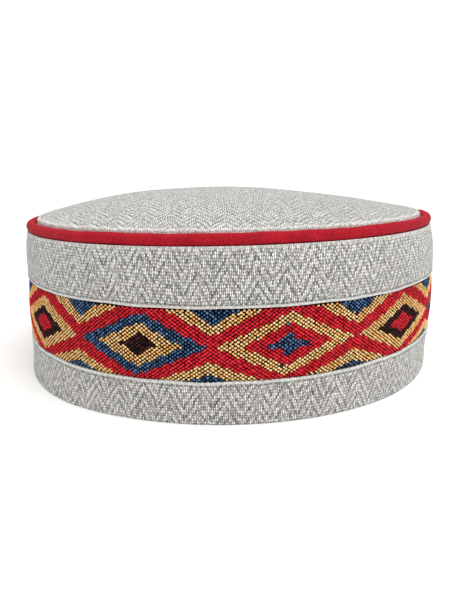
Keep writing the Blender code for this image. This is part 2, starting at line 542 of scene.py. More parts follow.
def pillow_tree() -> bpy.types.NodeTree:
    """Builds the tree that sets one small yarn pillow on each seat of a carrier.

    Returns:
        The tree. Its carrier's points have the attributes outward and along.
    """
    sizes = ("Length", "Width", "Thickness", "Bluntness", "Size Spread", "Turn Spread")
    add, given = start_tree("yarn_pillows", sizes, ("Sides", "Rings", "Seed"))
    shape = {"Segments": given["Sides"], "Rings": given["Rings"], "Radius": 0.5}
    ball = add("GeometryNodeMeshUVSphere", named=shape).node.outputs
    mapped = {"Geometry": ball["Mesh"], "Name": CLOTH_MAP, "Value": ball["UV Map"]}
    pillow = add(STORE, named=mapped, **ON_CORNERS)
    place = add(SPLIT_XYZ, add("GeometryNodeInputPosition")).node.outputs
    reach = add("MULTIPLY", place["Z"], 2.0)
    end = add("MULTIPLY", add("SIGN", reach), 0.5)
    reach = add("MULTIPLY", add("POWER", add("ABSOLUTE", reach), given["Bluntness"]), end)
    blunt = add(JOIN_XYZ, place["X"], place["Y"], reach)
    pillow = add("GeometryNodeSetPosition", named={"Geometry": pillow, "Position": blunt})
    size = add(JOIN_XYZ, given["Width"], given["Thickness"], given["Length"])
    pillow = add(TRANSFORM, named={"Geometry": pillow, "Scale": size})
    along, outward = (
        add("GeometryNodeInputNamedAttribute", label, data_type="FLOAT_VECTOR")
        for label in (ALONG, OUTWARD)
    )
    axes = {"primary_axis": "Z", "secondary_axis": "Y"}
    lie = add("FunctionNodeAxesToRotation", along, outward, **axes)
    seed, spread = given["Seed"], given["Size Spread"]
    turn, grow, shade = (
        add(RANDOM, named={2: low, 3: high, "Seed": number}, out=1, data_type="FLOAT")
        for low, high, number in (
            (add("MULTIPLY", given["Turn Spread"], -1.0), given["Turn Spread"], seed),
            (add("SUBTRACT", 1.0, spread), add("ADD", 1.0, spread), add("ADD", seed, 1.0)),
            (0.0, 1.0, seed),
        )
    )
    turn = add("FunctionNodeEulerToRotation", add(JOIN_XYZ, 0.0, turn, 0.0))
    lie = add("FunctionNodeRotateRotation", lie, turn, rotation_space="LOCAL")
    seated = {"Points": given["Geometry"], "Instance": pillow, "Rotation": lie, "Scale": grow}
    placed = add("GeometryNodeInstanceOnPoints", named=seated)
    shaded = {"Geometry": placed, "Name": SHADE, "Value": shade}
    shaded = add(STORE, named=shaded, data_type="FLOAT", domain="INSTANCE")
    return close_tree(add, shaded, given["Material"])


@dataclass(frozen=True)
class PillowSize:
    """Size of the part of a yarn that shows between two crossings."""

    length: float
    width: float
    thickness: float
    sides: int = 6
    rings: int = 4
    bluntness: float = 0.7
    size_spread: float = 0.10
    turn_spread_degrees: float = 11.0

    def lay(
        self, name: str, tree: Any, seats: np.ndarray, ways: Mapping[str, Any], metres: float,
        seed: int, material: bpy.types.Material,
    ) -> bpy.types.Object:
        """Lays one pillow on each seat.

        Args:
            name: Name of the piece.
            tree: The pillow tree.
            seats: Middle of each pillow in millimetres.
            ways: Outward and along vectors of the seats.
            metres: Metres in one millimetre of the cap.
            seed: Seed of the random turns, sizes and shades.
            material: Finish of the yarn.

        Returns:
            The piece.
        """
        values = {
            "Length": self.length * metres,
            "Width": self.width * metres,
            "Thickness": self.thickness * metres,
            "Bluntness": self.bluntness,
            "Size Spread": self.size_spread,
            "Turn Spread": math.radians(self.turn_spread_degrees),
            "Sides": self.sides,
            "Rings": self.rings,
            "Seed": seed,
            "Material": material,
        }
        return run_tree(name, tree, seats * metres, (), ways, values)


@dataclass(frozen=True)
class Tweed:
    """Herringbone tweed of thick soft wool, a steep twill whose direction turns every few ends.
    Its warp is two-ply and shows as light upright strokes with a tone of their own; the darker
    weft shows between them as slanted lines. The low ground between the threads and the pits
    where strokes end get painted shade, and strips along the seams and folds a painted highlight.
    Each pull is the scale, detail and roughness of a noise and its reach in millimetres."""

    warp_pitch: float = 0.62
    weft_pitch: float = 1.08
    ends_to_turn: int = 8
    weft_share: float = 0.35
    thread_height: float = 0.26
    warp_light: str = "#FAF8F1"
    warp_dark: str = "#B3B0AB"
    weft_light: str = "#BDBAB4"
    weft_dark: str = "#62615D"
    gap_shade: str = "#4C4B49"
    pit_shade: str = "#050506"
    fleck: str = "#7C7E86"
    row_shade: str = "#3A3B46"
    fold_highlight: str = "#EEECE8"
    seam_highlight_share: float = 0.4
    gloss: Gloss = Gloss(0.95, 0.25, 0.30, 0.6)
    pulls: tuple[tuple[float, ...], ...] = ((0.09, 3.0, 0.5, 2.2), (0.9, 4.0, 0.7, 0.5))
    twill_repeat: float = 4.0
    stroke_slip: float = 0.55
    hair_stretch: tuple[float, float, float] = (4.5, 0.9, 0.0)
    hair_scale: float = 1.6
    tone_range: tuple[float, float] = (0.42, 1.05)
    fleck_from: float = 0.96
    fleck_share: float = 0.6

    def material(self, name: str, row: "StitchRow | None" = None) -> bpy.types.Material:
        """Builds the finish on the cloth coordinates.

        Args:
            name: Name of the material.
            row: Stitch row, if there is one. Its groove and needle holes get painted shade, and the
                strip between it and the fold a painted highlight.

        Returns:
            The material.
        """
        add = start_material(name)
        place = add("ShaderNodeUVMap", uv_map=CLOTH_MAP)
        flat = add(VECTOR_MATH, place, (1.0 / MM,) * 3, operation="MULTIPLY")
        pulled = flat
        for scale, detail, roughness, reach in self.pulls:
            noise = {"Vector": flat, "Scale": scale, "Detail": detail, "Roughness": roughness}
            shift = add(NOISE, named=noise, out=1)
            pulled = add(VECTOR_MATH, shift, (reach, reach, 0.0), pulled, operation="MULTIPLY_ADD")
        split = add(SPLIT_XYZ, pulled).node.outputs
        end = add("DIVIDE", split["X"], self.warp_pitch)
        pick = add("DIVIDE", split["Y"], self.weft_pitch)
        end_number = add("FLOOR", end)
        stripe = add("FLOOR", add("DIVIDE", end_number, self.ends_to_turn))
        way = add("MULTIPLY_ADD", add("FLOORED_MODULO", stripe, 2.0), -2.0, 1.0)
        run = add("FLOORED_MODULO", add("MULTIPLY_ADD", end_number, way, pick), self.twill_repeat)
        run = add("ABSOLUTE", add("ADD", run, 2.0 * self.weft_share - self.twill_repeat))
        weft_up = add(RAMP, run, 1.6 * self.weft_share, 2.3 * self.weft_share, 1.0, 0.0)
        slip = add(WHITE_NOISE, add(JOIN_XYZ, end_number, 3.5, 0.5))
        stroke = add("MULTIPLY_ADD", slip, self.stroke_slip, pick)
        along = add("MULTIPLY", add("FRACT", stroke), 2.0)
        body, pit_shade = self.float_profile(add, add("FRACT", end), along)
        tone = add(WHITE_NOISE, add(JOIN_XYZ, end_number, add("FLOOR", stroke), 9.5))
        hair = add(VECTOR_MATH, flat, self.hair_stretch, operation="MULTIPLY")
        noise = {"Vector": hair, "Scale": self.hair_scale, "Detail": 4.0, "Roughness": 0.7}
        hair = add(NOISE, named=noise)
        mix = add("MULTIPLY_ADD", hair, 0.8, add("MULTIPLY", tone, 0.8))
        mix = add(RAMP, mix, *self.tone_range, 0.0, 1.0)
        warp, weft = (
            add(MIX, named={0: mix, 6: dark, 7: light}, **COLOURS)
            for dark, light in ((self.warp_dark, self.warp_light), (self.weft_dark, self.weft_light))
        )
        thread = add(MIX, named={0: weft_up, 6: warp, 7: weft}, **COLOURS)
        flecked = add("MULTIPLY", add("GREATER_THAN", tone, self.fleck_from), self.fleck_share)
        heather = add(MIX, named={0: flecked, 6: thread, 7: self.fleck}, **COLOURS)
        deep = add(RAMP, tone, 0.2, 0.8, 1.0, 0.1)
        # Painted shade: near-black in the pits where strokes end, less on lighter strokes.
        pit_shade = add("MULTIPLY", add(RAMP, pit_shade, 0.08, 0.36, 0.0, 1.0), deep)
        # Painted shade: the gap colour fills the low ground between the threads' crests.
        crest = add(RAMP, body, 0.35, 0.85, 0.0, 1.0)
        colour = add(MIX, named={0: crest, 6: self.gap_shade, 7: heather}, **COLOURS)
        height = add("MULTIPLY_ADD", hair, 0.4, body)
        height = add("MULTIPLY_ADD", weft_up, -0.3, height)
        # Painted highlight: the strip along a seam is lightened towards the warp's light colour.
        seam_highlight = add("ShaderNodeAttribute", attribute_name=SHADE, out=2)
        seam_highlight = add("MULTIPLY", seam_highlight, self.seam_highlight_share)
        layers = [(pit_shade, self.pit_shade), (seam_highlight, self.warp_light)]
        if row is not None:
            fold_highlight, groove, hole = row.masks(add, flat)
            layers += [(fold_highlight, self.fold_highlight), (groove, self.row_shade), (hole, self.row_shade)]
            height = add("SUBTRACT", add("SUBTRACT", height, groove), hole)
        for share, hue in layers:
            colour = add(MIX, named={0: share, 6: colour, 7: hue}, **COLOURS)
        return close_material(add, name, colour, height, self.thread_height, self.gloss)

    def float_profile(self, add: AddNode, across: Any, along: Any) -> tuple[Any, Any]:
        """Gives the rounded height of a thread where it floats over two others, and where its corners get
        painted shade in the pits.

        Args:
            add: Adds a node to the material.
            across: Place across the thread, from 0 to 1.
            along: Place along the float, from 0 to 2.

        Returns:
            Height from 0 at the edges to 1 in the middle, and the share of painted shade in the pits at
            the corners, from 0 to 1.
        """
        side = add("MULTIPLY", add("MULTIPLY_ADD", across, -4.0, 4.0), across)
        run = add("MULTIPLY", add("MULTIPLY_ADD", along, -1.0, 2.0), along)
        pit_shade = add("MULTIPLY", add("SUBTRACT", 1.0, side), add("SUBTRACT", 1.0, run))
        both = add("MULTIPLY", side, add("MULTIPLY_ADD", run, 0.6, 0.4))
        return add("SQRT", add("MAXIMUM", both, 0.0)), pit_shade


@dataclass(frozen=True)
class PipingCloth:
    """Fine plain-woven cotton cut on the bias: a dense red with a faint dry gloss. The thread
    spacing is drawn a little coarser than the real one so that it shows."""

    thread_pitch: float = 0.53
    thread_height: float = 0.16
    light: str = "#E82C3E"
    dark: str = "#5C0008"
    gloss: Gloss = Gloss(0.72, 0.06, 0.015, 0.4)
    bias_degrees: float = 45.0
    cloud_scale: float = 0.08
    uneven_scale: float = 0.8
    tone_range: tuple[float, float] = (0.85, 1.75)

    def material(self, name: str) -> bpy.types.Material:
        """Builds the finish on the cloth coordinates.

        Args:
            name: Name of the material.

        Returns:
            The material.
        """
        add = start_material(name)
        bias = {
            "Vector": add("ShaderNodeUVMap", uv_map=CLOTH_MAP),
            "Rotation": (0.0, 0.0, math.radians(self.bias_degrees)),
            "Scale": (1.0 / (MM * self.thread_pitch),) * 3,
        }
        turned = add("ShaderNodeMapping", named=bias)
        split = add(SPLIT_XYZ, turned).node.outputs
        threads = (add("SINE", add("MULTIPLY", split[axis], HALF_TURN)) for axis in ("X", "Y"))
        weave = add("MULTIPLY", *(add("ABSOLUTE", thread) for thread in threads))
        cloud, uneven = (
            add(NOISE, named={"Vector": turned, "Scale": scale, "Detail": detail})
            for scale, detail in ((self.cloud_scale, 2.0), (self.uneven_scale, 1.0))
        )
        # Painted shade: the weave darkens the colour between the threads, as well as giving the bump.
        tone = add("MULTIPLY_ADD", weave, 1.2, add("MULTIPLY_ADD", cloud, 0.5, uneven))
        tone = add(RAMP, tone, *self.tone_range, 0.0, 1.0)
        colour = add(MIX, named={0: tone, 6: self.dark, 7: self.light}, **COLOURS)
        return close_material(add, name, colour, weave, self.thread_height, self.gloss)


@dataclass(frozen=True)
class BandGround:
    """The plain weave that ties the band's pattern yarns down: matt, in a near-black that is its own
    dark yarn and painted shade deep between the floats, with painted red bounce light where red
    floats lie over it."""

    thread_pitch: float = 0.65
    thread_height: float = 0.15
    # Near-black: the ground's own dark yarn, darkened further as painted shade between the floats.
    dark: str = "#040203"
    red: str = "#50020A"
    gloss: Gloss = Gloss(0.95, 0.03)

    def material(self, name: str) -> bpy.types.Material:
        """Builds the finish on the cloth coordinates and the ground's own shade.

        Args:
            name: Name of the material.

        Returns:
            The material.
        """
        add = start_material(name)
        place = add("ShaderNodeUVMap", uv_map=CLOTH_MAP)
        waves = (HALF_TURN / (MM * self.thread_pitch),) * 3
        split = add(SPLIT_XYZ, add(VECTOR_MATH, place, waves, operation="MULTIPLY")).node.outputs
        weave = add("MULTIPLY", add("SINE", split["X"]), add("SINE", split["Y"]))
        # Painted red bounce light on the ground under the red floats.
        red_bounce = add("ShaderNodeAttribute", attribute_name=SHADE, out=2)
        colour = add(MIX, named={0: red_bounce, 6: self.dark, 7: self.red}, **COLOURS)
        return close_material(add, name, colour, weave, self.thread_height, self.gloss)


@dataclass(frozen=True)
class TwistedYarn:
    """Soft two-ply yarn, dyed in the hank: each float is a little lighter or darker, and the
    plies wind slantwise round it. Each float gets a painted highlight along its middle, painted
    shade towards its ends, where it dives, and painted shade between its plies."""

    light: str
    dark: str
    gloss: Gloss = Gloss(0.85, 0.10, 0.01)
    depth: float = 1.5
    unevenness: float = 0.75
    plies: float = 3.0
    winds: float = 1.6
    ply_height: float = 0.05
    ply_tone: float = 0.25

    def material(self, name: str) -> bpy.types.Material:
        """Builds the finish on each float's own coordinates and shade.

        Args:
            name: Name of the material.

        Returns:
            The material.
        """
        add = start_material(name)
        split = add(SPLIT_XYZ, add("ShaderNodeUVMap", uv_map=CLOTH_MAP)).node.outputs
        shade = add("ShaderNodeAttribute", attribute_name=SHADE, out=2)
        climb = add("MULTIPLY_ADD", split["Y"], self.winds * self.plies, shade)
        ply = add("MULTIPLY", add("MULTIPLY_ADD", split["X"], self.plies, climb), TURN)
        ply = add("MULTIPLY_ADD", add("SINE", ply), 0.5, 0.5)
        # Painted highlight along the float's middle and painted shade at its ends.
        belly_light_and_shade = add("SINE", add("MULTIPLY", split["Y"], HALF_TURN))
        rise = 0.5 * (0.75 - self.unevenness)
        belly_light_and_shade = add(RAMP, belly_light_and_shade, 0.45, 1.0, rise - 0.35, rise + 0.35)
        # Painted shade in the grooves between the plies, which also give the bump.
        tone = add("MULTIPLY_ADD", ply, self.ply_tone, belly_light_and_shade)
        tone = add("MULTIPLY_ADD", shade, self.unevenness, tone)
        tone = add("POWER", add(RAMP, tone, 0.0, 1.2, 0.0, 1.2), self.depth)
        colour = add(MIX, named={0: tone, 6: self.dark, 7: self.light}, **COLOURS)
        return close_material(add, name, colour, ply, self.ply_height, self.gloss)


@dataclass(frozen=True)
class StitchRow:
    """One row of topstitching along a folded edge."""

    name: str
    fold: float
    height: float
    pitch: float = 1.70
    hole_radius: float = 0.32
    fold_highlight_share: float = 0.65
    groove_reach: float = 0.36
    groove_share: float = 0.6
    groove_scale: float = 0.35
    thread: PillowSize = PillowSize(1.20, 0.30, 0.22, 6, 5, 0.7, 0.08, 6.0)
    finish: TwistedYarn = TwistedYarn("#C4C2BD", "#8E8C88", plies=2.0, winds=3.0)
    seed: int = 11

    def masks(self, add: AddNode, flat: Any) -> tuple[Any, Any, Any]:
        """Marks where the row and its fold get painted highlight and shade.

        Args:
            add: Adds a node to the cloth's material.
            flat: Cloth coordinates in millimetres.

        Returns:
            Sockets of the strip between the fold and the row, which gets a painted highlight, of the
            uneven groove into which the row draws the cloth, and of the needle holes between two
            stitches; groove and holes get painted shade as well as a dip in the bump. Each is 0
            elsewhere.
        """
        split = add(SPLIT_XYZ, flat).node.outputs
        half = 0.5 * abs(self.height - self.fold)
        away = add("ABSOLUTE", add("ADD", split["Y"], -0.5 * (self.fold + self.height)))
        # Painted highlight on the folded edge, between the fold and the row.
        fold_highlight = add(RAMP, away, 0.6 * half, 1.3 * half, self.fold_highlight_share, 0.0)
        across = add("ADD", split["Y"], -self.height)
        # Painted shade along the groove, broken up by noise; the same mask dips the bump.
        groove = add(RAMP, add("ABSOLUTE", across), 0.12, self.groove_reach, self.groove_share, 0.0)
        drawn = add(NOISE, named={"Vector": flat, "Scale": self.groove_scale, "Detail": 3.0})
        groove = add("MULTIPLY", groove, add(RAMP, drawn, 0.36, 0.58, 0.0, 1.0))
        along = add("FRACT", add("ADD", add("DIVIDE", split["X"], self.pitch), 0.5))
        along = add("MULTIPLY", add("ADD", along, -0.5), self.pitch)
        offset = add(JOIN_XYZ, along, across, 0.0)
        distance = add(VECTOR_MATH, offset, out=1, operation="LENGTH")
        # Painted shade in the needle holes; the same mask dips the bump.
        hole = add(RAMP, distance, 0.4 * self.hole_radius, self.hole_radius, 0.9, 0.0)
        return fold_highlight, groove, hole


@dataclass(frozen=True)
class TweedStrip:
    """One of the two grey strips of the wall, with its folded edge over the woven band."""

    outline: CapOutline
    name: str
    node: str
    fold: float
    far_edge: float
    far_outer_radius: float
    far_inner_radius: float
    row: StitchRow
    seed: int
    lip_thickness: float = 1.2
    thickness: float = 2.8
    ledge: float = 4.3
    segments: int = 1224
    seam_depth: float = 0.5
    seam_spread: float = 0.8
    far_rise: float = 0.0
    swell: float = 0.22
    pucker: float = 0.10
    groove_depth: float = 0.24
    groove_spread: float = 0.45
    roll: float = 0.08
    roll_spread: float = 0.5
    seam_ridge: tuple[float, float, float] = (0.2, 2.4, 1.3)
    crest_share: float = 0.25
    crest_spread: float = 0.9
    wander: float = 0.14
    fold_reach: float = 3.0
    seam_highlight_spread: float = 0.8
    fine_step: float = 0.28
    fine_reach: float = 3.2
    coarse_step: float = 0.9

    @property
    def way(self) -> float:
        """1 where the strip runs up from its fold, -1 where it runs down."""
        return math.copysign(1.0, self.far_edge - self.fold)

    @property
    def reach(self) -> float:
        """Distance from the fold to the other edge."""
        return abs(self.far_edge - self.fold)

    def relief(self, angle: np.ndarray, out: np.ndarray) -> np.ndarray:
        """Gives how far the outer face stands proud of its even shape.

        Args:
            angle: Angles round the cap.
            out: Distances from the fold.

        Returns:
            Heights of the relief.
        """
        distance = self.outline.distance_at(angle)
        share = np.clip(out / self.reach, 0.0, 1.0)
        row_at = abs(self.row.height - self.fold)
        swell = self.swell * unevenness(angle, self.seed, (3, 5, 8, 13)) * np.sin(HALF_TURN * share)
        puckers = self.pucker * unevenness(angle, self.seed + 1, (37, 47, 59, 71, 83))
        puckers = puckers * bump_at(out - row_at, self.fold_reach)
        stitch_wave = 0.6 + 0.4 * np.cos(TURN * distance / self.row.pitch)
        groove = -self.groove_depth * stitch_wave * bump_at(out - row_at, self.groove_spread)
        roll = self.roll * bump_at(out - 0.45 * row_at, self.roll_spread)
        from_seam = 0.5 * self.outline.girth() - np.abs(distance)
        seam = -self.seam_depth * bump_at(from_seam, self.seam_spread)
        ridge, ridge_at, ridge_spread = self.seam_ridge
        seam = seam + ridge * bump_at(from_seam - ridge_at, ridge_spread)
        crest = self.far_rise * self.crest_share * bump_at(self.reach - out, self.crest_spread)
        return swell + puckers + groove + roll + seam + crest

    def waver(self, angle: np.ndarray, out: np.ndarray) -> np.ndarray:
        """How far the fold and the row wander up or down."""
        wander = unevenness(angle, self.seed + 2, (9, 14, 23, 31)) * bump_at(out, self.fold_reach)
        return self.way * self.wander * wander

    def section(self) -> tuple[np.ndarray, np.ndarray, np.ndarray]:
        """Insets, distances from the fold and weights of the relief, all along the section."""
        lip = 0.5 * self.lip_thickness
        fold = [
            (lip - lip * math.cos(t), lip - lip * math.sin(t), 0.5 + 0.5 * math.cos(t))
            for t in np.linspace(HALF_TURN, 0.0, 9)
        ]
        near = np.arange(lip + self.fine_step, self.fine_reach, self.fine_step)
        far_start = self.reach + self.far_rise - self.far_outer_radius
        steps = int(round((far_start - near[-1]) / self.coarse_step))
        face = [*near, *np.linspace(near[-1], far_start, steps + 1)[1:]]
        outer = [(0.0, out, 1.0) for out in face]
        radius = self.far_outer_radius
        corner = [
            (radius * (1.0 - math.cos(t)), far_start + radius * math.sin(t), math.cos(t))
            for t in np.radians(np.linspace(15.0, 90.0, 6))
        ]
        radius = self.far_inner_radius
        deep, top = self.thickness - radius, self.reach - radius
        inner = [
            (deep + radius * math.sin(t), top + radius * math.cos(t), 0.0)
            for t in np.radians(np.linspace(0.0, 90.0, 4))
        ]
        back = [
            (self.thickness, 0.5 * (self.reach + self.ledge), 0.0),
            (self.thickness, self.ledge, 0.0),
            (self.lip_thickness, self.ledge, 0.0),
            (self.lip_thickness, 0.5 * self.ledge, 0.0),
        ]
        table = np.array([*fold, *outer, *corner, *inner, *back])
        return table[:, 0], table[:, 1], table[:, 2]

    def build(self) -> bpy.types.Object:
        """Builds the strip.

        Returns:
            The dressed strip.
        """
        inset, out, weight = self.section()
        angle = self.outline.around(self.segments)[None, :]
        inset, out, weight = inset[:, None], out[:, None], weight[:, None]
        turns = np.broadcast_to(angle, (len(out), angle.shape[1]))
        outs = np.broadcast_to(out, turns.shape)
        proud = weight * self.relief(turns, outs)
        heights = self.fold + self.way * outs
        grid = self.outline.point(turns, inset - proud, heights, self.waver(turns, outs))
        lengths = np.hypot(np.diff(inset[:, 0]), np.diff(out[:, 0]))
        along = np.concatenate([[0.0], np.cumsum(lengths)])
        first_outer = int(np.argmax(weight[:, 0] > 0.99))
        run = self.fold + self.way * (along - along[first_outer] + out[first_outer, 0])
        distance = np.broadcast_to(self.outline.distance_at(angle), turns.shape)
        cloth = np.stack([distance, np.broadcast_to(run[:, None], turns.shape)], axis=-1)
        strip = loft(self.name, grid, cloth, self.outline.metres)
        if self.far_rise > 0.0:
            # Painted highlight on the strip's turned edge under the piping.
            seam_highlight = bump_at(self.reach + self.far_rise - outs, self.seam_highlight_spread) * (weight > 0.0)
            set_shade(strip, seam_highlight[:, :-1])
        strip.data.materials.append(Tweed().material(self.name + "_cloth", self.row))
        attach(strip, "root")
        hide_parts(self.node)
        return strip

    def sew(self, tree: bpy.types.NodeTree) -> bpy.types.Object:
        """Sews the row of stitches along the fold.

        Args:
            tree: The pillow tree.

        Returns:
            The row.
        """
        half = 0.5 * self.outline.girth()
        first = (math.ceil(-half / self.row.pitch) + 0.5) * self.row.pitch
        distance = np.arange(first, half - 0.5 * self.row.thread.length, self.row.pitch)
        angle = self.outline.angle_at(distance)
        out = np.full_like(angle, abs(self.row.height - self.fold))
        inset = -self.relief(angle, out) - 0.3 * self.row.thread.thickness
        heights = np.full_like(angle, self.row.height)
        seats = self.outline.point(angle, inset, heights, self.waver(angle, out))
        outward = self.outline.outward(angle)
        ways = {OUTWARD: outward, ALONG: np.cross(UP, outward)}
        finish = self.row.finish.material(self.row.name + "_thread")
        row = self.row.thread.lay(
            self.row.name, tree, seats, ways, self.outline.metres, self.row.seed, finish
        )
        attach(row, "root")
        return row

    def flat_size(self) -> tuple[float, float]:
        """Length and width in metres that the strip was cut to, with the turned edges."""
        turned = self.ledge + self.thickness
        metres = self.outline.metres
        return (self.outline.girth() * metres, (self.reach + turned) * metres)


@dataclass(frozen=True)
class Crown:
    """The domed round top, whose edge turns down inside the wall."""

    outline: CapOutline
    rise: float = 11.3
    fullness: float = 2.1
    skew: float = -0.24
    thickness: float = 2.0
    shoulder: float = 1.1
    inner_corner: float = 0.8
    cord_inset: float = 2.0
    cord_radius: float = 2.25
    cloth_gap: float = 0.3
    skirt_foot: float = 54.5
    segments: int = 540
    outer_rings: int = 56
    corner_rings: int = 8
    seam_highlight_spread: float = 0.35
    inner_rings: int = 18
    broad_swell: float = 0.22
    broad_lengths: tuple[float, float] = (17.0, 21.0)
    fine_swell: float = 0.16
    fine_length: float = 9.0
    pucker: float = 0.14
    pucker_reach: float = 9.0
    seed: int = 41

    def dome(self, angle: np.ndarray, fraction: np.ndarray) -> np.ndarray:
        """Gives the outer height of the crown.

        Args:
            angle: Angles round the cap.
            fraction: Share of the way from the centre to the middle of the piping.

        Returns:
            Heights above the rim, without the settling of the wall.
        """
        base = self.outline.crown_seam.height + 2.0 * self.cord_radius
        swell = 1.0 - fraction**self.fullness
        return base + self.rise * swell * (1.0 + self.skew * fraction * np.sin(angle))

    def puckers(self, angle: np.ndarray) -> np.ndarray:
        """Heights of the small gathers at the seam."""
        return self.pucker * unevenness(angle, self.seed, (29, 41, 53, 67))

    def dome_points(self, angle: np.ndarray, fraction: float, drop: float) -> np.ndarray:
        """Gives one ring of the dome.

        Args:
            angle: Angles round the cap.
            fraction: Share of the way from the centre to the middle of the piping.
            drop: Depth below the outer face.

        Returns:
            Points of the ring.
        """
        seam = self.outline.crown_seam
        wide = seam.half_width - self.cord_inset
        deep = self.outline.depth_to_width * seam.half_width - self.cord_inset
        share = np.full_like(angle, fraction)
        x = fraction * wide * np.sin(angle)
        y = -fraction * deep * np.cos(angle)
        side_length, front_length = self.broad_lengths
        broad = np.sin(x / side_length + 0.6) * np.cos(y / front_length + 0.3) * (1.0 - share**4)
        fine = np.sin((x + 0.6 * y) / self.fine_length) * np.sin(HALF_TURN * share)
        relief = self.broad_swell * broad + self.fine_swell * fine
        puckers = self.puckers(angle) * bump_at((1.0 - share) * wide, self.pucker_reach)
        z = self.dome(angle, share) - drop + relief + puckers
        z = z + share**2 * self.outline.settling(angle, np.full_like(angle, seam.height))
        return np.stack([x + seam.lean, y, z], axis=-1)

    def build(self) -> bpy.types.Object:
        """Builds the crown.

        Returns:
            The dressed crown.
        """
        seam = self.outline.crown_seam
        angle = self.outline.around(self.segments)
        level = np.zeros_like(angle)
        skirt_outer = self.cord_inset + self.cord_radius + self.cloth_gap
        skirt_inner = skirt_outer + self.thickness
        wide = seam.half_width - self.cord_inset
        outer_reach = (seam.half_width - skirt_outer - self.shoulder) / wide
        inner_reach = (seam.half_width - skirt_inner - self.inner_corner) / wide
        steps = np.sin(np.linspace(0.02, 0.5 * HALF_TURN, self.outer_rings))
        rings = [self.dome_points(angle, outer_reach * step, 0.0) for step in steps]
        edge = self.dome(angle, np.full_like(angle, outer_reach))
        puckers = self.puckers(angle)
        for turn in np.radians(np.linspace(0.0, 90.0, self.corner_rings + 1))[1:]:
            inset = skirt_outer + self.shoulder * (1.0 - math.sin(turn))
            lift = edge - self.shoulder * (1.0 - math.cos(turn)) - seam.height
            lift = lift + puckers * math.cos(turn)
            rings.append(self.outline.point(angle, inset, level + seam.height, lift))
        for inset in (skirt_outer, skirt_inner):
            rings.append(self.outline.point(angle, inset, level + self.skirt_foot))
        inner_edge = self.dome(angle, np.full_like(angle, inner_reach))
        lift = inner_edge - self.thickness - self.inner_corner - seam.height
        rings.append(self.outline.point(angle, skirt_inner, level + seam.height, lift))
        inner_steps = np.sin(np.linspace(0.5 * HALF_TURN, 0.04, self.inner_rings))
        rings += [self.dome_points(angle, inner_reach * step, self.thickness) for step in inner_steps]
        grid = np.stack(rings)
        crown = loft("crown_tweed", grid, self.cloth(grid), self.outline.metres, capped=True)
        # Painted highlight on the crown's rolled edge next to the piping, fading in towards it.
        seam_highlight = np.zeros(grid.shape[:2])
        seam_highlight[: self.outer_rings] = bump_at(wide * outer_reach * (1.0 - steps), self.seam_highlight_spread)[:, None]
        seam_highlight[self.outer_rings : self.outer_rings + self.corner_rings] = 1.0
        set_shade(crown, seam_highlight[:, :-1])
        crown.data.materials.append(Tweed().material("crown_tweed_cloth"))
        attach(crown, "root")
        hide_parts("crown")
        return crown

    def cloth(self, grid: np.ndarray) -> np.ndarray:
        """Lays the flat cloth over the dome, out from its centre.

        Args:
            grid: Points of the rings.

        Returns:
            The cloth's two coordinates at each point; the warp runs from front to back.
        """
        lengths = np.linalg.norm(np.diff(grid, axis=0), axis=-1)
        start = np.linalg.norm(grid[0, :, :2] - grid[0, :, :2].mean(axis=0), axis=-1)
        run = start + np.concatenate([np.zeros((1, grid.shape[1])), np.cumsum(lengths, axis=0)])
        flat_way = grid[self.outer_rings - 1, :, :2] - grid[0, :, :2].mean(axis=0)
        flat_way = flat_way / np.linalg.norm(flat_way, axis=-1, keepdims=True)
        return run[..., None] * flat_way[None]

    def flat_size(self) -> tuple[float, float]:
        """Width and length in metres that the round was cut to, with its turned edge."""
        turned = self.outline.crown_seam.height + 2.0 * self.cord_radius - self.skirt_foot
        wide = 2.0 * (self.outline.crown_seam.half_width - self.cord_inset + turned)
        return (wide * self.outline.metres, wide * self.outline.depth_to_width * self.outline.metres)


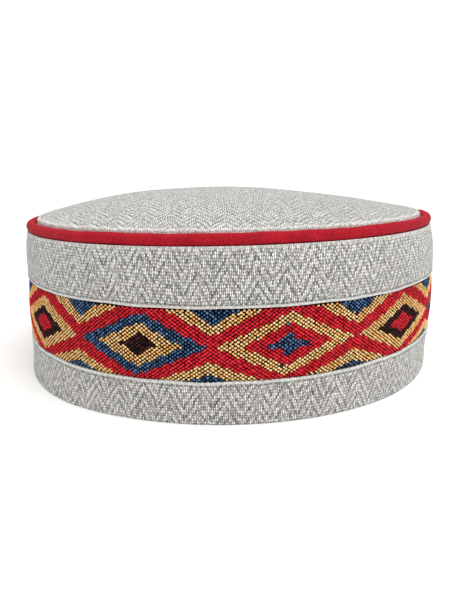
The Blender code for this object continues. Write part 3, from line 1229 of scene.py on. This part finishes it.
@dataclass(frozen=True)
class Piping:
    """The covered cord in the crown seam, with the flange by which it is stitched in."""

    outline: CapOutline
    cord_radius: float = 2.25
    cord_inset: float = 2.0
    flange_inset: float = 3.68
    flange_thickness: float = 1.1
    flange_foot: float = 54.0
    slack: float = 0.12
    wrap_turn_degrees: float = 200.0
    lump_scale: float = 130.0
    sides: int = 20
    segments: int = 720

    def tree(self) -> bpy.types.NodeTree:
        """Builds the tree that sweeps the cord and its flange along the seam.

        Returns:
            The tree. Its carrier is the line of the cord's centre.
        """
        flange_sizes = ("Flange Side", "Flange Height", "Flange Width", "Flange Drop")
        sizes = ("Cord Radius", *flange_sizes, "Slack")
        add, given = start_tree("piping_sweep", sizes, ("Sides",))
        line = add("GeometryNodeMeshToCurve", given["Geometry"])
        line = add("GeometryNodeSetCurveNormal", line, mode="Z_UP")
        shape = {"Resolution": given["Sides"], "Radius": given["Cord Radius"]}
        circle = add("GeometryNodeCurvePrimitiveCircle", named=shape, mode="RADIUS")
        hidden = (0.0, 0.0, math.radians(self.wrap_turn_degrees))
        circle = add(TRANSFORM, named={"Geometry": circle, "Rotation": hidden})
        captured = []
        for curve, label in ((line, "Run"), (circle, "Girth")):
            capture = add("GeometryNodeCaptureAttribute", curve).node
            capture.capture_items.new("FLOAT", label)
            share = add("GeometryNodeSplineParameter", out=1)
            capture.id_data.links.new(share, capture.inputs[label])
            captured.append(capture.outputs)
        seam, section = captured
        width, height = given["Flange Width"], given["Flange Height"]
        strip = add("GeometryNodeCurvePrimitiveQuadrilateral", width, height)
        drop = add(JOIN_XYZ, given["Flange Side"], given["Flange Drop"], 0.0)
        strip = add(TRANSFORM, named={"Geometry": strip, "Translation": drop})
        flange, cord = (
            add("GeometryNodeCurveToMesh", seam[0], profile, named={"Fill Caps": True})
            for profile in (strip, section[0])
        )
        lumps = add("ADD", add(NOISE, named={"Scale": self.lump_scale, "Detail": 2.0}), -0.5)
        lumps = add("MULTIPLY", lumps, given["Slack"])
        normal = add("GeometryNodeInputNormal")
        push = add(VECTOR_MATH, normal, named={"Scale": lumps}, operation="SCALE")
        cord = add("GeometryNodeSetPosition", named={"Geometry": cord, "Offset": push})
        joined = add("GeometryNodeJoinGeometry").node
        for part in (flange, cord):
            joined.id_data.links.new(part, joined.inputs[0])
        place = add(JOIN_XYZ, seam["Run"], section["Girth"], 0.0)
        mapped = {"Geometry": joined.outputs[0], "Name": CLOTH_MAP, "Value": place}
        return close_tree(add, add(STORE, named=mapped, **ON_CORNERS), given["Material"])

    def build(self) -> bpy.types.Object:
        """Builds the piping.

        Returns:
            The dressed piping.
        """
        angle = self.outline.around(self.segments)
        centre = self.outline.crown_seam.height + self.cord_radius
        waver = 0.10 * unevenness(angle, 5, (11, 17, 29, 43))
        line = self.outline.point(angle, self.cord_inset, np.full_like(angle, centre), waver)
        line[0, 0] -= 0.05
        line[-1, 0] += 0.05
        edges = [(at, at + 1) for at in range(self.segments)]
        metres = self.outline.metres
        foot_drop = centre - self.flange_foot
        values = {
            "Cord Radius": (self.cord_radius - 0.1) * metres,
            "Flange Side": (self.cord_inset - self.flange_inset) * metres,
            "Flange Height": foot_drop * metres,
            "Flange Width": self.flange_thickness * metres,
            "Flange Drop": 0.5 * foot_drop * metres,
            "Slack": 2.0 * self.slack * metres,
            "Sides": self.sides,
            "Material": PipingCloth().material("piping_cotton"),
        }
        piping = run_tree("piping_cloth", self.tree(), line * metres, edges, {}, values)
        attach(piping, "root")
        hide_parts("crown_piping")
        return piping


class Yarn(Enum):
    """Colours of the pattern yarns."""

    RED = "red"
    YELLOW = "yellow"
    BLUE = "blue"
    BLACK = "black"


YARN_ORDER = tuple(Yarn)
YARN_FINISH = {
    Yarn.RED: TwistedYarn("#EC323F", "#7C0008", unevenness=0.5),
    Yarn.YELLOW: TwistedYarn("#FFE4A8", "#E28A0E", unevenness=0.6),
    Yarn.BLUE: TwistedYarn("#6890BE", "#001034", depth=3.2, unevenness=0.45),
    Yarn.BLACK: TwistedYarn("#4A282A", "#0C0304", depth=2.2),
}
YARN_PILLOW = {
    Yarn.RED: PillowSize(1.20, 0.90, 0.52, sides=5, bluntness=0.5),
    Yarn.YELLOW: PillowSize(0.95, 0.84, 0.54, bluntness=0.5),
    Yarn.BLUE: PillowSize(0.97, 0.84, 0.50, bluntness=0.5),
    Yarn.BLACK: PillowSize(1.10, 0.86, 0.44, bluntness=0.5),
}


@dataclass(frozen=True)
class Motif:
    """One diamond of the pattern: a frame, a field inside it and a core."""

    frame: Yarn
    field: Yarn
    core: Yarn
    field_length: float
    field_height: float
    core_length: float
    core_height: float
    knob_length: float = 0.0
    knob_height: float = 0.0
    core_power: float = 1.0


@dataclass(frozen=True)
class DiamondChart:
    """The charted pattern: three diamonds that take turns, with chevrons and a triangle above
    and below each crossing. Lengths run along the band, heights up it, from a motif's centre.
    Past front_reach the motifs are eased together, so that the row closes at the back."""

    girth: float
    motifs_round: int = 12
    front_reach: float = 130.0
    period: float = 52.4
    first_centre: float = -32.8
    middle: float = 28.4
    shear: float = 0.09
    frame_length: float = 25.3
    frame_height: float = 10.9
    motifs: tuple[Motif, ...] = (
        Motif(Yarn.BLUE, Yarn.YELLOW, Yarn.BLACK, 16.3, 7.6, 7.2, 4.2, 0.0, 0.0, 0.9),
        Motif(Yarn.YELLOW, Yarn.RED, Yarn.BLUE, 16.1, 7.3, 5.8, 4.1, 7.4, 1.0, 0.9),
        Motif(Yarn.YELLOW, Yarn.BLACK, Yarn.RED, 15.4, 7.0, 8.2, 3.9),
    )
    accents: tuple[tuple[int, float, float], ...] = ((1, -0.8, 6.7), (1, -1.8, -7.0))
    accent_reach: tuple[float, float] = (0.86, 0.33)
    top_chevron: tuple[float, float] = (3.85, 0.478)
    top_triangle: tuple[float, float] = (7.3, 0.56)
    foot_chevron: tuple[float, float] = (5.0, 0.361)
    foot_triangle: tuple[float, float] = (9.3, 0.306)

    def place(
        self, distance: np.ndarray, height: np.ndarray
    ) -> tuple[np.ndarray, np.ndarray, np.ndarray]:
        """Finds the nearest motif.

        Args:
            distance: Distances round the cap.
            height: Heights above the rim.

        Returns:
            Number of the motif, and the length and height from its centre.
        """
        up = height - self.middle
        half = 0.5 * self.girth
        spare = 0.5 * self.motifs_round * self.period - half
        eased = np.clip((np.abs(distance) - self.front_reach) / (half - self.front_reach), 0.0, 1.0)
        along = distance + np.sign(distance) * spare * eased
        along = along - self.first_centre - self.shear * up
        number = np.round(along / self.period).astype(int)
        return number % len(self.motifs), along - number * self.period, up

    def yarn_at(self, distance: np.ndarray, height: np.ndarray) -> np.ndarray:
        """Reads the chart.

        Args:
            distance: Distances round the cap.
            height: Heights above the rim.

        Returns:
            Place of each yarn in YARN_ORDER.
        """
        number, offset, up = self.place(distance, height)
        along = np.abs(offset)
        to_crossing = 0.5 * self.period - along
        order = {yarn: at for at, yarn in enumerate(YARN_ORDER)}
        chart = np.full(along.shape, order[Yarn.RED])
        for (start, slope), side, yarn in (
            (self.top_chevron, 1.0, Yarn.YELLOW),
            (self.top_triangle, 1.0, Yarn.BLUE),
            (self.foot_chevron, -1.0, Yarn.YELLOW),
            (self.foot_triangle, -1.0, Yarn.BLUE),
        ):
            chart[side * up > start + slope * to_crossing] = order[yarn]
        high = np.abs(up)
        frame = along / self.frame_length + high / self.frame_height <= 1.0
        for at, motif in enumerate(self.motifs):
            here = number == at
            field = along / motif.field_length + high / motif.field_height <= 1.0
            core = (along / motif.core_length) ** motif.core_power
            core = core + (high / motif.core_height) ** motif.core_power <= 1.0
            knob = (along <= motif.knob_length) & (high <= motif.knob_height)
            chart[here & frame] = order[motif.frame]
            chart[here & field] = order[motif.field]
            chart[here & (core | knob)] = order[motif.core]
        wide, tall = self.accent_reach
        for at, side, rise in self.accents:
            near = (np.abs(offset - side) < wide) & (np.abs(up - rise) < tall)
            chart[(number == at) & near] = order[Yarn.BLUE]
        return chart

    def slant_sign(self, distance: np.ndarray, height: np.ndarray) -> np.ndarray:
        """Way that the floats lean, parallel to the diamond's nearest edge."""
        _, along, up = self.place(distance, height)
        return -np.sign(along) * np.sign(up)


@dataclass(frozen=True)
class WovenBand:
    """The woven band: a dark ground and a brick-like field of slanted pattern floats."""

    outline: CapOutline
    chart: DiamondChart
    float_period: float = 1.86
    row_pitch: float = 0.65
    slant_degrees: float = 13.0
    foot_clearance: float = 0.24
    head_clearance: float = 0.62
    margin_lap: float = 4.0
    margin_inset: float = 1.5
    thickness: float = 2.8
    edge_inset: float = 0.75
    middle_inset: float = 0.12
    fullness: float = 0.7
    dip_spread: float = 0.25
    seat_jitter: float = 0.08
    segments: int = 900
    seed: int = 71

    def face_inset(self, height: np.ndarray) -> np.ndarray:
        """Inset of the ground's face, which dips under the folds at both edges."""
        foot, head = self.outline.band_foot.height, self.outline.band_head.height
        share = np.clip((height - foot) / (head - foot), 0.0, 1.0)
        bulge = (self.edge_inset - self.middle_inset) * np.sin(HALF_TURN * share) ** self.fullness
        from_edge = np.minimum(height - foot, head - height)
        dip = (self.margin_inset - self.edge_inset) * bump_at(np.maximum(from_edge, 0.0), self.dip_spread)
        return self.edge_inset - bulge + dip

    def build_ground(self) -> bpy.types.Object:
        """Builds the ground weave.

        Returns:
            The dressed ground.
        """
        foot, head = self.outline.band_foot.height, self.outline.band_head.height
        edges = (0.0, 0.2, 0.45, 0.8, 1.3, 2.0)
        low = [foot + step for step in edges]
        high = [head - step for step in reversed(edges)]
        heights = np.array([*low, *np.linspace(low[-1], high[0], 26)[1:-1], *high])
        insets = self.face_inset(heights)
        section = [
            (self.thickness, foot - self.margin_lap),
            (self.margin_inset, foot - self.margin_lap),
            (self.margin_inset, foot - 0.5 * self.margin_lap),
            *zip(insets, heights),
            (self.margin_inset, head + 0.5 * self.margin_lap),
            (self.margin_inset, head + self.margin_lap),
            (self.thickness, head + self.margin_lap),
            (self.thickness, 0.5 * (foot + head)),
        ]
        table = np.array(section)
        angle = self.outline.around(self.segments)[None, :]
        turns = np.broadcast_to(angle, (len(table), angle.shape[1]))
        grid = self.outline.point(turns, table[:, :1], table[:, 1:])
        run = np.concatenate([[0.0], np.cumsum(np.hypot(*np.diff(table, axis=0).T))])
        distance = np.broadcast_to(self.outline.distance_at(angle), turns.shape)
        cloth = np.stack([distance, np.broadcast_to(run[:, None], turns.shape)], axis=-1)
        ground = loft("woven_band_ground", grid, cloth, self.outline.metres)
        heights = np.broadcast_to(table[:, 1:], turns.shape)
        yarns = self.chart.yarn_at(distance, heights)[:, :-1]
        # Marks the ground under the red floats for its painted red bounce light.
        set_shade(ground, yarns == YARN_ORDER.index(Yarn.RED))
        ground.data.materials.append(BandGround().material("band_ground_weave"))
        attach(ground, "root")
        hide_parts("patterned_band")
        return ground

    def seats(self) -> tuple[np.ndarray, np.ndarray]:
        """Distances and heights of all the pattern floats, row by row."""
        half = 0.5 * self.outline.girth()
        columns = round(2.0 * half / self.float_period)
        period = 2.0 * half / columns
        low = self.outline.band_foot.height + self.foot_clearance
        high = self.outline.band_head.height - self.head_clearance
        rows = round((high - low) / self.row_pitch)
        row, column = np.meshgrid(np.arange(rows + 1), np.arange(columns), indexing="ij")
        draw = np.random.default_rng(self.seed)
        distance = (column + 0.25 + 0.5 * (row % 2)) * period - half
        distance = distance + draw.normal(0.0, self.seat_jitter, distance.shape)
        height = low + row * (high - low) / rows
        height = height + draw.normal(0.0, 0.5 * self.seat_jitter, height.shape)
        return distance.ravel(), height.ravel()

    def weave(self, tree: bpy.types.NodeTree) -> list[bpy.types.Object]:
        """Lays the pattern floats, one piece for each colour of yarn.

        Args:
            tree: The pillow tree.

        Returns:
            The pieces of yarn.
        """
        distance, height = self.seats()
        yarns = self.chart.yarn_at(distance, height)
        slant = math.radians(self.slant_degrees) * self.chart.slant_sign(distance, height)
        angle = self.outline.angle_at(distance)
        outward = self.outline.outward(angle)
        level = np.cross(UP, outward)
        along = level * np.cos(slant)[:, None] + UP * np.sin(slant)[:, None]
        pieces = []
        for at, yarn in enumerate(YARN_ORDER):
            here = yarns == at
            pillow = YARN_PILLOW[yarn]
            inset = self.face_inset(height[here]) - 0.2 * pillow.thickness
            seats = self.outline.point(angle[here], inset, height[here])
            ways = {OUTWARD: outward[here], ALONG: along[here]}
            finish = YARN_FINISH[yarn].material(yarn.value + "_wool")
            piece = pillow.lay(
                yarn.value + "_yarn", tree, seats, ways, self.outline.metres, self.seed + at, finish
            )
            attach(piece, "root")
            pieces.append(piece)
        return pieces

    def flat_size(self) -> tuple[float, float]:
        """Length and width in metres of the woven band, with the margins under the folds."""
        width = self.outline.band_head.height - self.outline.band_foot.height + 2.0 * self.margin_lap
        return (self.outline.girth() * self.outline.metres, width * self.outline.metres)


@dataclass(frozen=True)
class Studio:
    """Camera, lights and floor. The camera stands where the photograph was taken from."""

    image_height: float = 606.0
    focal_pixels: float = 550.728
    sensor: float = 36.0
    camera_back: float = 273.35
    camera_height: float = 86.23
    yaw: float = -0.0017
    pitch: float = 0.2408
    roll: float = -0.0138
    floor_colour: str = "#FAFAF9"
    floor_radius: float = 1.1
    horizon_strength: float = 0.50
    zenith_strength: float = 1.28
    backdrop_strength: float = 1.1
    key_power: float = 17.0
    key_size: float = 1.6
    key_place: tuple[float, float, float] = (0.60, -0.40, 1.6)
    aim_height: float = 0.04
    floor_grain_scale: float = 40.0

    def build(self, outline: CapOutline) -> None:
        """Builds the camera, the sky, the key light and the floor.

        Args:
            outline: Outline of the cap, for its scale.
        """
        scene = bpy.context.scene
        scene.view_settings.view_transform = "Standard"
        self.build_camera(scene, outline.metres)
        self.build_lights(scene)
        self.build_floor()

    def build_camera(self, scene: bpy.types.Scene, metres: float) -> None:
        """Places the camera.

        Args:
            scene: Scene that uses it.
            metres: Metres in one millimetre of the cap.
        """
        flat = math.cos(self.pitch)
        ahead = (math.sin(self.yaw) * flat, math.cos(self.yaw) * flat, -math.sin(self.pitch))
        ahead = Vector(ahead)
        level = Vector((math.cos(self.yaw), -math.sin(self.yaw), 0.0))
        above = level.cross(ahead)
        right = math.cos(self.roll) * level + math.sin(self.roll) * above
        up = math.cos(self.roll) * above - math.sin(self.roll) * level
        data = bpy.data.cameras.new("camera")
        data.sensor_width = self.sensor
        data.lens = self.focal_pixels / self.image_height * self.sensor
        data.clip_start = 0.01
        camera = add_object("camera", data)
        place = Vector((0.0, -self.camera_back, self.camera_height)) * metres
        turn = Matrix((right, up, -ahead)).transposed().to_4x4()
        camera.matrix_world = Matrix.Translation(place) @ turn
        scene.camera = camera

    def build_lights(self, scene: bpy.types.Scene) -> None:
        """Sets a white sky that is brightest overhead and one large soft light.

        Args:
            scene: Scene that is lit.
        """
        world = bpy.data.worlds.new("studio_sky")
        world.use_nodes = True
        add = partial(add_node, world.node_tree)
        sky = world.node_tree.nodes["Background"]
        sky.inputs["Color"].default_value = (1.0, 1.0, 1.0, 1.0)
        rise = add(SPLIT_XYZ, add("ShaderNodeTexCoord"), out=2)
        strength = add(MIX, named={0: rise, 2: self.horizon_strength, 3: self.zenith_strength})
        seen = add("ShaderNodeLightPath")
        strength = add(MIX, named={0: seen, 2: strength, 3: self.backdrop_strength})
        world.node_tree.links.new(strength, sky.inputs["Strength"])
        scene.world = world
        data = bpy.data.lights.new("key", "AREA")
        data.shape = "DISK"
        data.size = self.key_size
        data.energy = self.key_power
        key = add_object("key", data)
        aim = Vector((0.0, 0.0, self.aim_height)) - Vector(self.key_place)
        turn = aim.to_track_quat("-Z", "Y").to_matrix().to_4x4()
        key.matrix_world = Matrix.Translation(Vector(self.key_place)) @ turn

    def build_floor(self) -> None:
        """Lays the pale floor."""
        disc = bmesh.new()
        bmesh.ops.create_circle(disc, cap_ends=True, segments=96, radius=self.floor_radius)
        mesh = bpy.data.meshes.new("floor")
        disc.to_mesh(mesh)
        disc.free()
        add = start_material("painted_floor")
        grain = add(NOISE, named={"Scale": self.floor_grain_scale, "Detail": 3.0})
        paint = close_material(
            add, "painted_floor", self.floor_colour, grain, 0.2, Gloss(0.9, 0.1), bump=0.2
        )
        mesh.materials.append(paint)
        add_object("floor", mesh)


def corners(box: Any) -> list[list[float]]:
    """Lowest and highest corner of a box as plain lists."""
    return [[float(value) for value in corner] for corner in box]


def main() -> None:
    """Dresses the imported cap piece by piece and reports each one."""
    logging.basicConfig(level=logging.INFO, format="%(name)s: %(message)s")
    for item in list(bpy.data.objects):
        bpy.data.objects.remove(item, do_unlink=True)
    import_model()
    outline = CapOutline.from_frame()
    LOG.info("scale %.6f, girth %.1f mm", outline.metres, outline.girth())
    Studio().build(outline)
    pillows = pillow_tree()

    head, foot = outline.band_head.height, outline.band_foot.height
    row_to_fold, seam_gap = 1.3, 0.3
    upper = TweedStrip(
        outline,
        name="upper_tweed_strip",
        node="upper_band",
        fold=head,
        far_edge=outline.crown_seam.height - seam_gap,
        far_outer_radius=0.4,
        far_inner_radius=0.3,
        far_rise=0.6,
        row=StitchRow("upper_topstitch", head, head + row_to_fold),
        seed=21,
    )
    lower = TweedStrip(
        outline,
        name="lower_tweed_strip",
        node="lower_band",
        fold=foot,
        far_edge=outline.rim.height,
        far_outer_radius=0.6,
        far_inner_radius=0.6,
        row=StitchRow("lower_topstitch", foot, foot - row_to_fold, seed=13),
        seed=31,
    )
    pieces = []
    for strip in (upper, lower):
        cloth = strip.build()
        row = strip.sew(pillows)
        strip.flat_size()
        pieces += [cloth, row]

    crown = Crown(outline)
    top = crown.build()
    width, length = crown.flat_size()
    pieces += [top, Piping(outline).build()]

    band = WovenBand(outline, DiamondChart(outline.girth()))
    ground = band.build_ground()
    yarns = band.weave(pillows)
    band.flat_size()
    for piece in (*pieces, ground, *yarns):
        LOG.info("%s: %d faces", piece.name, len(piece.data.polygons))


if __name__ == "__main__":
    main()
